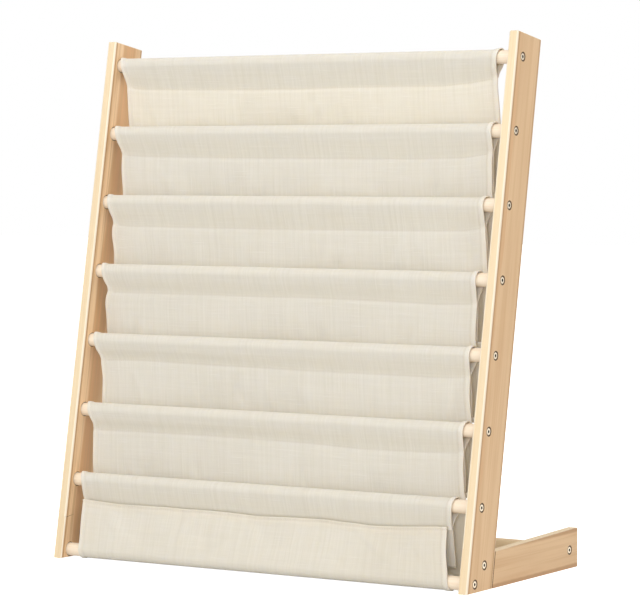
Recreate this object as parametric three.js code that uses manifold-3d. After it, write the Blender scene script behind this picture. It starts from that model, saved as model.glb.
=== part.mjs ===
import * as THREE from "three";
import { mergeVertices } from "three/addons/utils/BufferGeometryUtils.js";
import Module from "manifold-3d";

const wasm = await Module();
wasm.setup();

// Driving sizes in millimetres. X runs to the right, Y to the back and Z up.
const overallWidth = 640;
const overallDepth = 300;
const overallHeight = 700;

// Boards of the two sides
const boardThickness = 13.5;
const postWidth = 64;
const leanDegrees = 10.5;
const topFallDegrees = 9;
const arrisWidth = 1.5;
const baseFrontHeight = 46;
const baseBackHeight = 52;
const tongueFrontHeight = 55.5;
const tongueBackHeight = 64;

// Dowels between the sides
const dowelDiameter = 17.5;
const dowelCount = 8;
const topDowelDrop = 33;
const bottomDowelHeight = 10.8;
const dowelSetback = 18.5;
const socketDepth = 5;
const rearDowelInset = 23;
const rearDowelHeight = 24.5;

// Flat-head screws with a hexagon socket
const screwHeadDiameter = 9.6;
const screwHeadHeight = 2.8;
const screwRimHeight = 0.4;
const screwShankDiameter = 4.8;
const screwTipHeight = 1.6;
const dowelScrewLength = 30;
const lapScrewLength = 11.5;
const lapScrewHeight = 32;
const lapScrewSetback = 39;
const hexagonWidth = 3.6;
const hexagonDepth = 2;

// Cloth sling: sleeves round the dowels, with a pocket below each row
const clothThickness = 1;
const bareDowelLength = 14.5;
const seamDrop = 35;
const seamLap = 8;
const seamRise = 5;
const drawIn = 4;
const foldRise = 7.7;
const panelSag = 4;
const waveDepth = 1.2;

// Fits
const fitGap = 0.3;
const cutOverrun = 2;

// Hand-chosen shares and counts
const lapDepthShare = 0.5;
const sagPower = 1.5;
const pocketDrawShare = 0.6;
const endRiseShare = 0.72;
const wavesAcrossShare = 1.6;
const waveDriftShare = 0.37;
const wrapEndDegrees = 60;
const sleeveSpanDegrees = 230;
const arrisSteps = 2;
const hexagonSides = 6;
const clothSteps = 8;
const sleeveSteps = 6;
const sleeveArcSteps = 9;
const foldArcSteps = 6;
const wrapArcSteps = 9;
const panelRows = 4;
const dowelSides = 20;
const screwSides = 12;

// Values that follow from the driving sizes
const halfTurn = 180;
const radians = Math.PI / halfTurn;
const leanSlope = Math.tan(leanDegrees * radians);
const postDepth = postWidth / Math.cos(leanDegrees * radians);
const frontY = -overallDepth / 2;
const backY = overallDepth / 2;
const outerX = overallWidth / 2;
const innerX = outerX - boardThickness;
const dowelRadius = dowelDiameter / 2;
const dowelPitch = (overallHeight - topDowelDrop - bottomDowelHeight) / (dowelCount - 1);
const clothHalfWidth = innerX - bareDowelLength;
const foldDrop = dowelPitch - foldRise;
const layerOffset = clothThickness + fitGap + clothThickness / 2;

const pine = { color: 0xe2c39c, roughness: 0.6, metalness: 0 };
const paleDowel = { color: 0xf0dcbc, roughness: 0.6, metalness: 0 };
const linen = { color: 0xe4dccf, roughness: 0.95, metalness: 0 };
const steel = { color: 0xb4b1aa, roughness: 0.35, metalness: 0.9 };

const group = new THREE.Group();
group.name = "sling_bookshelf";

function addPiece(name, geometry, finish) {
  const mesh = new THREE.Mesh(geometry, new THREE.MeshStandardMaterial(finish));
  mesh.name = name;
  group.add(mesh);
}

function toSolid(geometry) {
  const bare = geometry.clone();
  bare.deleteAttribute("normal");
  bare.deleteAttribute("uv");
  const welded = mergeVertices(bare);
  return new wasm.Manifold(new wasm.Mesh({
    numProp: 3,
    vertProperties: new Float32Array(welded.attributes.position.array),
    triVerts: new Uint32Array(welded.index.array),
  }));
}

function toGeometry(solid) {
  const cut = solid.getMesh();
  const geometry = new THREE.BufferGeometry();
  const places = new Float32Array(cut.vertProperties);
  geometry.setAttribute("position", new THREE.BufferAttribute(places, 3));
  geometry.setIndex(new THREE.BufferAttribute(new Uint32Array(cut.triVerts), 1));
  geometry.computeVertexNormals();
  return geometry;
}

// Shape helpers: a shape is drawn in Y and Z, then it runs along X
const sideToWorld = new THREE.Matrix4().makeBasis(
  new THREE.Vector3(0, 1, 0),
  new THREE.Vector3(0, 0, 1),
  new THREE.Vector3(1, 0, 0),
);

function toVectors(points) {
  return points.map(([across, up]) => new THREE.Vector2(across, up));
}

function drawShape(points) {
  return new THREE.Shape(toVectors(points));
}

function extrudeAlongX(shape, fromX, toX, options) {
  const low = Math.min(fromX, toX);
  const depth = Math.abs(toX - fromX);
  const geometry = new THREE.ExtrudeGeometry(shape, { depth, bevelEnabled: false, ...options });
  geometry.applyMatrix4(sideToWorld);
  geometry.translate(low, 0, 0);
  return geometry;
}

function board(points, fromX, toX) {
  const low = Math.min(fromX, toX);
  const high = Math.max(fromX, toX);
  const eased = {
    bevelEnabled: true,
    bevelThickness: arrisWidth,
    bevelSize: arrisWidth,
    bevelOffset: -arrisWidth,
    bevelSegments: arrisSteps,
  };
  return toSolid(extrudeAlongX(drawShape(points), low + arrisWidth, high - arrisWidth, eased));
}

function prism(points, fromX, toX) {
  return toSolid(extrudeAlongX(drawShape(points), fromX, toX, {}));
}

function rod(radius, fromX, toX, y, z, sides) {
  const geometry = new THREE.CylinderGeometry(radius, radius, Math.abs(toX - fromX), sides);
  geometry.rotateZ(Math.PI / 2);
  geometry.translate((fromX + toX) / 2, y, z);
  return toSolid(geometry);
}

// Lines that the pieces share
function postFront(z) {
  return frontY + z * leanSlope;
}

function postBack(z) {
  return postFront(z) + postDepth;
}

function dowelHeight(number) {
  return overallHeight - topDowelDrop - (number - 1) * dowelPitch;
}

function dowelY(number) {
  return postFront(dowelHeight(number)) + dowelSetback;
}

const frontDowels = Array.from({ length: dowelCount }, (_, index) => index + 1);
const rearDowelY = backY - rearDowelInset;
const lapScrewY = postFront(lapScrewHeight) + lapScrewSetback;

// Screw, with the shape of its hole grown by the fit gap
function screwProfile(length, grow, top) {
  const head = screwHeadDiameter / 2 + grow;
  const shank = screwShankDiameter / 2 + grow;
  const tip = shank - screwTipHeight / 2;
  return toVectors([
    [0, -length - grow],
    [tip, -length - grow],
    [shank, -length - grow + screwTipHeight],
    [shank, -screwHeadHeight],
    [head, -screwRimHeight],
    [head, top],
    [0, top],
  ]);
}

function screwShape(side, y, z, length, grow, top) {
  const geometry = new THREE.LatheGeometry(screwProfile(length, grow, top), screwSides);
  geometry.rotateZ(-side * Math.PI / 2);
  geometry.translate(side * outerX, y, z);
  return toSolid(geometry);
}

function screw(side, y, z, length) {
  const depth = hexagonDepth + cutOverrun;
  const corner = hexagonWidth / 2 / Math.cos(Math.PI / hexagonSides);
  const socket = new THREE.CylinderGeometry(corner, corner, depth, hexagonSides);
  socket.rotateZ(Math.PI / 2);
  socket.translate(side * (outerX - hexagonDepth + depth / 2), y, z);
  const sunk = screwRimHeight / 2;
  return toGeometry(screwShape(side, y, z, length, 0, -sunk).subtract(toSolid(socket)));
}

function screwHole(side, y, z, length) {
  return screwShape(side, y, z, length, fitGap, cutOverrun);
}

// Side posts: boards that lean back, halved at the foot for the base board
function shoulder(y, gap) {
  const frontPoint = postFront(tongueFrontHeight);
  const backPoint = postBack(tongueBackHeight);
  const rise = (tongueBackHeight - tongueFrontHeight) / (backPoint - frontPoint);
  return tongueFrontHeight + (y - frontPoint) * rise + gap;
}

function post(side) {
  const topFall = Math.tan(topFallDegrees * radians);
  const topRun = postDepth / (1 + leanSlope * topFall);
  const topFront = postFront(overallHeight);
  const outline = [
    [postFront(0), 0],
    [postBack(0), 0],
    [topFront + topRun, overallHeight - topRun * topFall],
    [topFront, overallHeight],
  ];
  const frontCut = postFront(0) - cutOverrun;
  const backCut = postBack(tongueBackHeight) + cutOverrun;
  const lapRoom = prism(
    [
      [frontCut, -cutOverrun],
      [backCut, -cutOverrun],
      [backCut, shoulder(backCut, fitGap)],
      [frontCut, shoulder(frontCut, fitGap)],
    ],
    side * (outerX - boardThickness * lapDepthShare),
    side * (innerX - cutOverrun),
  );
  let solid = board(outline, side * outerX, side * innerX).subtract(lapRoom);
  for (const number of frontDowels) {
    const y = dowelY(number);
    const z = dowelHeight(number);
    solid = solid.subtract(dowelSocket(side, y, z));
    solid = solid.subtract(screwHole(side, y, z, dowelScrewLength));
  }
  solid = solid.subtract(screwHole(side, lapScrewY, lapScrewHeight, lapScrewLength));
  return toGeometry(solid);
}

function dowelSocket(side, y, z) {
  const room = dowelRadius + fitGap;
  return rod(room, side * (innerX + socketDepth), side * (innerX - cutOverrun), y, z, dowelSides);
}

// Base boards: each tongue fills the halving of its post, and the rest stands behind the post
function baseBoard(side) {
  const outline = [
    [postFront(0), 0],
    [backY, 0],
    [backY, baseBackHeight],
    [postBack(baseFrontHeight), baseFrontHeight],
    [postBack(tongueBackHeight), tongueBackHeight],
    [postFront(tongueFrontHeight), tongueFrontHeight],
  ];
  const high = tongueBackHeight + cutOverrun;
  const postRoom = prism(
    [
      [postFront(-cutOverrun) - cutOverrun, -cutOverrun],
      [postBack(-cutOverrun) + fitGap, -cutOverrun],
      [postBack(high) + fitGap, high],
      [postFront(-cutOverrun) - cutOverrun, high],
    ],
    side * (outerX - boardThickness * lapDepthShare - fitGap),
    side * (outerX + cutOverrun),
  );
  let solid = board(outline, side * outerX, side * innerX).subtract(postRoom);
  const bottom = dowelHeight(dowelCount);
  const bottomY = dowelY(dowelCount);
  solid = solid.subtract(dowelSocket(side, bottomY, bottom));
  solid = solid.subtract(screwHole(side, bottomY, bottom, dowelScrewLength));
  solid = solid.subtract(screwHole(side, lapScrewY, lapScrewHeight, lapScrewLength));
  solid = solid.subtract(dowelSocket(side, rearDowelY, rearDowelHeight));
  solid = solid.subtract(screwHole(side, rearDowelY, rearDowelHeight, dowelScrewLength));
  return toGeometry(solid);
}

// Dowels: round rods that seat in the sockets, bored for the screws
function dowel(y, z) {
  const reach = innerX + socketDepth - fitGap;
  let solid = rod(dowelRadius, -reach, reach, y, z, dowelSides);
  for (const side of [-1, 1]) {
    solid = solid.subtract(screwHole(side, y, z, dowelScrewLength));
  }
  return toGeometry(solid);
}

// Cloth helpers
function arc(y, z, radius, fromDegrees, toDegrees, steps) {
  return Array.from({ length: steps + 1 }, (_, index) => {
    const angle = (fromDegrees + ((toDegrees - fromDegrees) * index) / steps) * radians;
    return [y + radius * Math.cos(angle), z + radius * Math.sin(angle)];
  });
}

// Radius of a faceted arc whose flats keep clear of a round of the given radius
function outsideRadius(radius, spanDegrees, steps) {
  return radius / Math.cos(((spanDegrees / steps) * radians) / 2);
}

function tangentDegrees(away, down, radius) {
  const distance = Math.hypot(away, down);
  return (Math.atan2(-down, away) + Math.acos(radius / distance)) / radians;
}

// A sheet of the cloth's thickness along a path
function ribbon(path) {
  const half = clothThickness / 2;
  const sides = path.map((point, index) => {
    const before = path[Math.max(index - 1, 0)];
    const after = path[Math.min(index + 1, path.length - 1)];
    const run = Math.hypot(after[0] - before[0], after[1] - before[1]);
    const normal = [-(after[1] - before[1]) / run, (after[0] - before[0]) / run];
    return [-half, half].map((away) => [point[0] + normal[0] * away, point[1] + normal[1] * away]);
  });
  return [...sides.map((pair) => pair[0]), ...sides.map((pair) => pair[1]).reverse()];
}

function smooth(value, low, high) {
  const share = Math.min(Math.max((value - low) / (high - low), 0), 1);
  return share * share * (3 - 2 * share);
}

// How strongly the seam draws the cloth in, by the depth below a dowel's axis
function seamPull(depth) {
  if (depth < seamDrop) return smooth(depth, dowelRadius, seamDrop);
  return 1 - smooth(depth, seamDrop, dowelPitch);
}

// The hems are drawn in and lifted along a seam, and a panel waves gently below it
function drape(geometry, depthAt, baseDrawShare, waveAt) {
  const places = geometry.attributes.position;
  for (let index = 0; index < places.count; index += 1) {
    const x = places.getX(index);
    const z = places.getZ(index);
    const depth = depthAt(z);
    const pull = seamPull(depth);
    const narrow = drawIn * (baseDrawShare + (1 - baseDrawShare) * pull);
    const ends = smooth(Math.abs(x) / clothHalfWidth, endRiseShare, 1);
    const turns = (wavesAcrossShare * x) / (clothHalfWidth * 2) + (waveDriftShare * z) / dowelPitch;
    const wave = waveDepth * Math.sin(turns * Math.PI * 2) * waveAt(depth);
    places.setX(index, x * (1 - narrow / clothHalfWidth));
    places.setY(index, places.getY(index) + wave);
    places.setZ(index, z + seamRise * ends * pull);
  }
  return toGeometry(toSolid(geometry));
}

function clothPiece(shape, steps, depthAt, baseDrawShare, waveAt) {
  const geometry = extrudeAlongX(shape, -clothHalfWidth, clothHalfWidth, { steps });
  return drape(geometry, depthAt, baseDrawShare, waveAt);
}

function rowDepth(z) {
  const depth = dowelHeight(1) - z;
  return depth - Math.floor(depth / dowelPitch) * dowelPitch;
}

// Sleeve: the cloth goes round a dowel and closes in a flat tail at the seam
function sleeve(number) {
  const y = dowelY(number);
  const z = dowelHeight(number);
  const tailTop = seamDrop - seamLap / 2;
  const tailEnd = seamDrop + seamLap / 2;
  const inner = outsideRadius(dowelRadius + fitGap, sleeveSpanDegrees, sleeveArcSteps);
  const outer = inner + clothThickness;
  const outerStart = tangentDegrees(clothThickness, tailTop, outer);
  const innerStart = tangentDegrees(0, tailTop, inner);
  const shape = drawShape([
    [y - clothThickness, z - tailEnd],
    [y + clothThickness, z - tailEnd],
    [y + clothThickness, z - tailTop],
    ...arc(y, z, outer, outerStart, halfTurn - outerStart, sleeveArcSteps),
    [y - clothThickness, z - tailTop],
  ]);
  const hole = [
    [y, z - tailTop],
    ...arc(y, z, inner, innerStart, halfTurn - innerStart, sleeveArcSteps),
  ];
  shape.holes.push(new THREE.Path(toVectors(hole)));
  return clothPiece(shape, sleeveSteps, (height) => z - height, 0, () => 0);
}

// Panels hang from a seam and lean back a little on their way past the next dowel
function sag(depth) {
  const share = Math.min(Math.max((depth - seamDrop) / (dowelPitch - seamDrop), 0), 1);
  return panelSag * share ** sagPower;
}

function wallDown(number, toDepth, offset) {
  const lapStart = seamDrop - seamLap / 2;
  const lapEnd = seamDrop + seamLap / 2;
  const rows = Array.from({ length: panelRows + 1 }, (_, index) => index / panelRows);
  const depths = rows.map((share) => lapEnd + (toDepth - lapEnd) * share);
  return [lapStart, ...depths].map((depth) => [
    dowelY(number) + offset + sag(depth),
    dowelHeight(number) - depth,
  ]);
}

// Pocket: a back wall hangs from the seam above, the cloth folds, and a front wall goes up to the
// next seam. They are three solids, so that each one collides as the thin sheet that it is.
function foldPlace(number) {
  const foldRoom = dowelY(number) - dowelY(number + 1) - layerOffset * 2;
  const depth = foldDrop - foldRoom / 2;
  const back = dowelY(number) - layerOffset + panelSag;
  const front = dowelY(number + 1) + layerOffset + sag(depth);
  return { depth, back, front };
}

function pocketCloth(path) {
  const wave = (depth) => Math.sin((Math.PI * (depth - seamDrop)) / dowelPitch) ** 2;
  return clothPiece(drawShape(ribbon(path)), clothSteps, rowDepth, pocketDrawShare, wave);
}

function pocketBack(number) {
  const endDepth = dowelPitch + foldPlace(number).depth - fitGap;
  return pocketCloth(wallDown(number, endDepth, -layerOffset));
}

function pocketFold(number) {
  const { depth, back, front } = foldPlace(number);
  const z = dowelHeight(number + 1) - depth;
  return pocketCloth(arc((back + front) / 2, z, (back - front) / 2, 0, -halfTurn, foldArcSteps));
}

function pocketFront(number) {
  const endDepth = foldPlace(number).depth - fitGap;
  return pocketCloth(wallDown(number + 1, endDepth, layerOffset));
}

// Front panel: from the last seam it runs down and wraps round the bottom dowel
function frontPanel() {
  const last = dowelCount - 1;
  const startY = dowelY(last) - layerOffset;
  const topZ = dowelHeight(last) - seamDrop + seamLap / 2;
  const lapEndZ = topZ - seamLap;
  const y = dowelY(dowelCount);
  const z = dowelHeight(dowelCount);
  const span = halfTurn + wrapEndDegrees;
  const inner = outsideRadius(dowelRadius + fitGap, span, wrapArcSteps);
  const middle = inner + clothThickness / 2;
  const away = startY - y;
  const up = lapEndZ - z;
  const toStart = Math.atan2(up, away) / radians;
  const turn = Math.acos(middle / Math.hypot(away, up)) / radians;
  const wrap = arc(y, z, middle, toStart + turn, halfTurn * 2 + wrapEndDegrees, wrapArcSteps);
  const rows = Array.from({ length: panelRows }, (_, index) => index / panelRows);
  const fall = rows.map((share) => [
    startY + (wrap[0][0] - startY) * share,
    lapEndZ + (wrap[0][1] - lapEndZ) * share,
  ]);
  const shape = drawShape(ribbon([[startY, topZ], ...fall, ...wrap]));
  const wave = (depth) => {
    const share = (dowelHeight(last) - depth - wrap[0][1]) / (lapEndZ - wrap[0][1]);
    return share > 0 && share < 1 ? Math.sin(Math.PI * share) ** 2 : 0;
  };
  const depthAt = (height) => dowelHeight(last) - height;
  return clothPiece(shape, clothSteps, depthAt, pocketDrawShare, wave);
}

// Assembly
for (const [side, word] of [[-1, "left"], [1, "right"]]) {
  addPiece(`${word}_post`, post(side), pine);
  addPiece(`${word}_base_board`, baseBoard(side), pine);
}
for (const number of frontDowels) {
  addPiece(`dowel_${number}`, dowel(dowelY(number), dowelHeight(number)), paleDowel);
}
addPiece("rear_dowel", dowel(rearDowelY, rearDowelHeight), paleDowel);
for (const [side, word] of [[-1, "left"], [1, "right"]]) {
  for (const number of frontDowels) {
    const geometry = screw(side, dowelY(number), dowelHeight(number), dowelScrewLength);
    addPiece(`${word}_screw_${number}`, geometry, steel);
  }
  const lapScrew = screw(side, lapScrewY, lapScrewHeight, lapScrewLength);
  addPiece(`${word}_lap_screw`, lapScrew, steel);
  const rearScrew = screw(side, rearDowelY, rearDowelHeight, dowelScrewLength);
  addPiece(`${word}_rear_screw`, rearScrew, steel);
}
for (const number of frontDowels.slice(0, -1)) {
  addPiece(`sleeve_${number}`, sleeve(number), linen);
}
for (const number of frontDowels.slice(0, -2)) {
  addPiece(`pocket_${number}_back`, pocketBack(number), linen);
  addPiece(`pocket_${number}_fold`, pocketFold(number), linen);
  addPiece(`pocket_${number}_front`, pocketFront(number), linen);
}
addPiece("front_panel", frontPanel(), linen);

export default group;
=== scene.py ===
import math
import random

import bmesh
import bpy
import numpy as np
from mathutils import Matrix, Vector


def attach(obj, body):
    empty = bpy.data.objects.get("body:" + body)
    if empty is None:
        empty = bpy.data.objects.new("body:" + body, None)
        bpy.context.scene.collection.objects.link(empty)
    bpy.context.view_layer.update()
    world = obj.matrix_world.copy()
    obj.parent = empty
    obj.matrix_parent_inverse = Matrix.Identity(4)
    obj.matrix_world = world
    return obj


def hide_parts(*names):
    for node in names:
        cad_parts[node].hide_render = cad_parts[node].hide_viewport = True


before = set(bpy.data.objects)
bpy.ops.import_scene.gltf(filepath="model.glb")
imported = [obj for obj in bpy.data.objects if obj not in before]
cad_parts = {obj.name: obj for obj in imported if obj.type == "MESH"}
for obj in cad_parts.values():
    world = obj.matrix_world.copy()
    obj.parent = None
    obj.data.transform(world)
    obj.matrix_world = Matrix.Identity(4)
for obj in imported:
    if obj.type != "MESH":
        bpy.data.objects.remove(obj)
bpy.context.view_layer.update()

# Side posts. Each is one flat pine board that leans back, its arrises eased with a sander.
# The inner half of its foot is cut away for the base board's tongue, the dowels sit in blind
# sockets on the inner face, and the screws are countersunk on the outer face.
outer_x = 0.320
board_thickness = 0.0135
inner_x = outer_x - board_thickness
middle_x = outer_x - board_thickness / 2
front_y = -0.150
rear_y = 0.150
overall_height = 0.700
post_width = 0.064
lean = math.radians(10.5)
lean_slope = math.tan(lean)
post_depth = post_width / math.cos(lean)
post_middle_y = front_y + post_depth / 2
near_end = 0.1
top_fall = math.tan(math.radians(9))
arris = 0.0028
arris_steps = 4
end_ease = 0.0010
lap_gap = 0.00012
socket_radius = 0.0090
socket_depth = 0.0050
socket_chamfer = 0.0006
socket_mouth = socket_radius + 2 * socket_chamfer
hole_sides = 40
# The two kinds of hole: (distance in from the outer face, radius) for each ring.
screw_hole = [
    (-0.002, 0.0064), (0.0001, 0.0063), (0.0005, 0.0049),
    (0.0010, 0.0049), (0.0032, 0.0028), (0.0150, 0.0028),
]
dowel_socket = [
    (board_thickness - socket_depth, socket_radius), (board_thickness - socket_chamfer, socket_radius),
    (board_thickness + 0.0005, socket_mouth), (board_thickness + 0.0020, socket_mouth),
]

dowel_count = 8
sling_rows = dowel_count - 1
dowel_radius = 0.00875
top_dowel_drop = 0.033
bottom_dowel_height = 0.0108
dowel_pitch = (overall_height - top_dowel_drop - bottom_dowel_height) / (dowel_count - 1)
dowel_setback = 0.0185
rear_dowel_inset = 0.023
rear_dowel_height = 0.0245
lap_screw_setback = 0.039
lap_screw_height = 0.032
tongue_front_height = 0.0555
tongue_back_height = 0.0640


def post_front(z):
    return front_y + z * lean_slope


def post_back(z):
    return post_front(z) + post_depth


def dowel_place(number):
    z = overall_height - top_dowel_drop - (number - 1) * dowel_pitch
    return Vector((0, post_front(z) + dowel_setback, z))


front_dowels = [dowel_place(number) for number in range(1, dowel_count + 1)]
rear_dowel = Vector((0, rear_y - rear_dowel_inset, rear_dowel_height))
lap_screw = Vector((0, post_front(lap_screw_height) + lap_screw_setback, lap_screw_height))
post_screws = front_dowels + [lap_screw]
tongue_front = Vector((0, post_front(tongue_front_height), tongue_front_height))
tongue_back = Vector((0, post_back(tongue_back_height), tongue_back_height))


def pick(piece):
    """Makes one piece the only selected one, and the active one."""
    bpy.ops.object.select_all(action="DESELECT")
    bpy.context.view_layer.objects.active = piece
    piece.select_set(True)


def edit(piece, kind="VERT"):
    """Opens one piece in edit mode with nothing selected."""
    pick(piece)
    bpy.ops.object.mode_set(mode="EDIT")
    bpy.ops.mesh.select_mode(type=kind)
    bpy.ops.mesh.select_all(action="DESELECT")


def choose(test, kind="VERT"):
    """Selects the points, edges or faces of the open mesh whose middles pass the test."""
    bpy.ops.mesh.select_mode(type=kind)
    bpy.ops.mesh.select_all(action="DESELECT")
    mesh = bmesh.from_edit_mesh(bpy.context.object.data)
    if kind == "VERT":
        for point in mesh.verts:
            point.select_set(bool(test(point.co)))
    if kind == "EDGE":
        for edge in mesh.edges:
            edge.select_set(bool(test((edge.verts[0].co + edge.verts[1].co) / 2)))
    if kind == "FACE":
        for face in mesh.faces:
            face.select_set(bool(test(face.calc_center_median(), face.normal)))
    mesh.select_flush_mode()
    bmesh.update_edit_mesh(bpy.context.object.data)


def shift(by, test):
    """Moves the points that pass the test."""
    choose(test)
    bpy.ops.transform.translate(value=by)


def extrude(by):
    bpy.ops.mesh.extrude_region_move(TRANSFORM_OT_translate={"value": by})


def finish_edit():
    bpy.ops.mesh.select_all(action="SELECT")
    bpy.ops.mesh.normals_make_consistent(inside=False)
    bpy.ops.object.mode_set(mode="OBJECT")


def settle(piece):
    """Puts the piece's place into its mesh, so that its object sits at the origin."""
    pick(piece)
    bpy.ops.object.transform_apply(location=True, rotation=True, scale=True)


def add_box(name, middle, size):
    bpy.ops.mesh.primitive_cube_add(size=1, location=middle, scale=size)
    box = bpy.context.object
    box.name = name
    settle(box)
    return box


def add_bar(name, place, radius, length, sides):
    """A plain bar along X with this many sides."""
    bpy.ops.mesh.primitive_cylinder_add(
        vertices=sides, radius=radius, depth=length, location=place, rotation=(0, math.pi / 2, 0)
    )
    bar = bpy.context.object
    bar.name = name
    settle(bar)
    return bar


def add_object(name, data):
    made = bpy.data.objects.new(name, data)
    bpy.context.scene.collection.objects.link(made)
    return made


def apply_modifier(piece, kind, **settings):
    modifier = piece.modifiers.new(kind.lower(), kind)
    for key, value in settings.items():
        setattr(modifier, key, value)
    pick(piece)
    bpy.ops.object.modifier_apply(modifier=modifier.name)


def cut_away(piece, tool):
    """Cuts the tool's shape out of the piece, and takes the tool away."""
    apply_modifier(piece, "BOOLEAN", operation="DIFFERENCE", solver="EXACT", object=tool)
    bpy.data.objects.remove(tool)


def turned_shape(side, place, rings):
    """A round shape along X: (distance in from the outer face, radius) for each ring."""
    first, radius = rings[0]
    bpy.ops.mesh.primitive_circle_add(
        vertices=hole_sides,
        radius=radius,
        fill_type="NGON",
        location=(side * (outer_x - first), place.y, place.z),
        rotation=(0, side * math.pi / 2, 0),
    )
    shape = bpy.context.object
    settle(shape)
    edit(shape, "FACE")
    bpy.ops.mesh.select_all(action="SELECT")
    centre = Vector((0, place.y, place.z))
    for (before, wide), (now, narrow) in zip(rings, rings[1:]):
        extrude((-side * (now - before), 0, 0))
        share = narrow / wide
        bpy.ops.transform.resize(value=(1, share, share), center_override=centre)
    finish_edit()
    return shape


def bore(board, side, places, rings):
    """Cuts the same hole into a board at each of the places."""
    for place in places:
        cut_away(board, turned_shape(side, place, rings))


def flat_shading(piece):
    """Smooth over the eased arrises, flat on the faces."""
    pick(piece)
    bpy.ops.object.shade_smooth_by_angle(angle=math.radians(35))
    apply_modifier(piece, "WEIGHTED_NORMAL", keep_sharp=True, weight=80)


def lap_room(side):
    """The halving in the post's foot that the tongue fills."""
    width, bottom, top = 0.02, -0.01, 0.05
    reach = 0.004
    rear_reach = 0.012
    middle_z = (bottom + top) / 2
    room = add_box(
        "lap_room",
        (side * (middle_x - lap_gap - width / 2), post_middle_y, middle_z),
        (width, post_depth + 2 * reach, top - bottom),
    )
    edit(room)
    slope = (tongue_back.z - tongue_front.z) / (tongue_back.y - tongue_front.y)
    for end, way in ((front_y - reach, -1), (front_y + post_depth + reach, 1)):
        rise = tongue_front.z + (end - tongue_front.y) * slope + lap_gap - top
        shift((0, 0, rise), lambda co, way=way: (co.y - post_middle_y) * way > 0 and co.z > middle_z)
    shift(
        (0, tongue_back_height * lean_slope + rear_reach, 0),
        lambda co: co.y > post_middle_y and co.z > middle_z,
    )
    finish_edit()
    return room


def side_post(side, name):
    post = add_box(
        name,
        (side * middle_x, post_middle_y, overall_height / 2),
        (board_thickness, post_depth, overall_height),
    )
    edit(post)
    lean_shift = overall_height * lean_slope
    shift((0, lean_shift, 0), lambda co: co.z > near_end)
    run = post_depth / (1 + lean_slope * top_fall)
    shift(
        (0, run - post_depth, -run * top_fall),
        lambda co: co.z > near_end and co.y > post_middle_y + lean_shift,
    )
    choose(lambda middle: near_end < middle.z < overall_height - near_end, "EDGE")
    bpy.ops.mesh.bevel(offset=arris, segments=arris_steps, affect="EDGES")
    choose(lambda middle: not near_end < middle.z < overall_height - near_end, "EDGE")
    bpy.ops.mesh.bevel(offset=end_ease, segments=2, affect="EDGES")
    finish_edit()
    cut_away(post, lap_room(side))
    bore(post, side, front_dowels, dowel_socket)
    bore(post, side, post_screws, screw_hole)
    flat_shading(post)
    return post


left_post = side_post(-1, "side_post_left")
right_post = side_post(1, "side_post_right")


def reckon(operation):
    """The method that adds a math node for one operation on a node's output."""
    return lambda value, *others: value.nodes.math(operation, value, *others)


class Value:
    """A node's output that reckons like a number: each step adds a node to its tree."""

    __add__ = reckon("ADD")
    __sub__ = reckon("SUBTRACT")
    __mul__ = reckon("MULTIPLY")
    __truediv__ = reckon("DIVIDE")
    __pow__ = reckon("POWER")
    __abs__ = reckon("ABSOLUTE")

    def __init__(self, nodes, socket):
        self.nodes = nodes
        self.socket = socket

    def __rsub__(self, other):
        return self.nodes.math("SUBTRACT", other, self)

    def step(self, low, high, before=0.0, after=1.0):
        """A soft step between two outputs, while the value runs from low to high."""
        feeds = {"Value": self, "From Min": low, "From Max": high, "To Min": before, "To Max": after}
        return self.nodes.add("ShaderNodeMapRange", feeds, interpolation_type="SMOOTHSTEP")["Result"]


class Nodes:
    """A shader node tree, with a short call for each kind of node that repeats."""

    def __init__(self, tree):
        self.tree = tree

    def feed(self, node, feeds):
        """Puts a plain value or another node's output on each input."""
        for key, value in feeds.items():
            if isinstance(value, Value):
                self.tree.links.new(value.socket, node.inputs[key])
            else:
                node.inputs[key].default_value = value

    def read(self, node):
        return {output.name: Value(self, output) for output in node.outputs}

    def make(self, kind, feeds=None, **settings):
        node = self.tree.nodes.new(kind)
        for key, value in settings.items():
            setattr(node, key, value)
        self.feed(node, feeds or {})
        return node

    def add(self, kind, feeds=None, **settings):
        return self.read(self.make(kind, feeds, **settings))

    def math(self, operation, *values):
        """A math node, or a vector math node where one of the values is a vector."""
        on_vectors = any(isinstance(value, tuple) for value in values)
        kind = "ShaderNodeVectorMath" if on_vectors else "ShaderNodeMath"
        made = self.add(kind, dict(enumerate(values)), operation=operation)
        return made["Vector" if on_vectors else "Value"]

    def noise(self, place, scale, detail=2.0):
        """Noise at one scale, or with a scale of its own along each axis."""
        if isinstance(scale, tuple):
            place, scale = place * scale, 1.0
        feeds = {"Vector": place, "Scale": scale, "Detail": detail}
        return self.add("ShaderNodeTexNoise", feeds)["Fac"]

    def mix(self, share, first, second, blend="MIX"):
        feeds = {0: share, 6: first, 7: second}
        made = self.make("ShaderNodeMix", feeds, data_type="RGBA", blend_type=blend)
        return Value(self, made.outputs[2])

    def layers(self, colour, *layers):
        """Lays each (share, tone) over the colour in turn."""
        for share, tone in layers:
            colour = self.mix(share, colour, tone)
        return colour

    def parts(self, vector):
        return self.add("ShaderNodeSeparateXYZ", {0: vector})

    def place(self):
        return self.add("ShaderNodeTexCoord")["Object"]

    def turned_place(self, turn, centre=(0, 0, 0)):
        feeds = {"Vector": self.place(), "Rotation": turn, "Location": centre}
        return self.add("ShaderNodeMapping", feeds)["Vector"]

    def bump(self, height, distance, strength):
        feeds = {"Height": height, "Distance": distance, "Strength": strength}
        return self.add("ShaderNodeBump", feeds)["Normal"]

    def use(self, group, feeds):
        return self.add("ShaderNodeGroup", feeds, node_tree=group.tree)

    def surface(self, feeds):
        self.feed(self.tree.nodes["Principled BSDF"], feeds)


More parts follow.
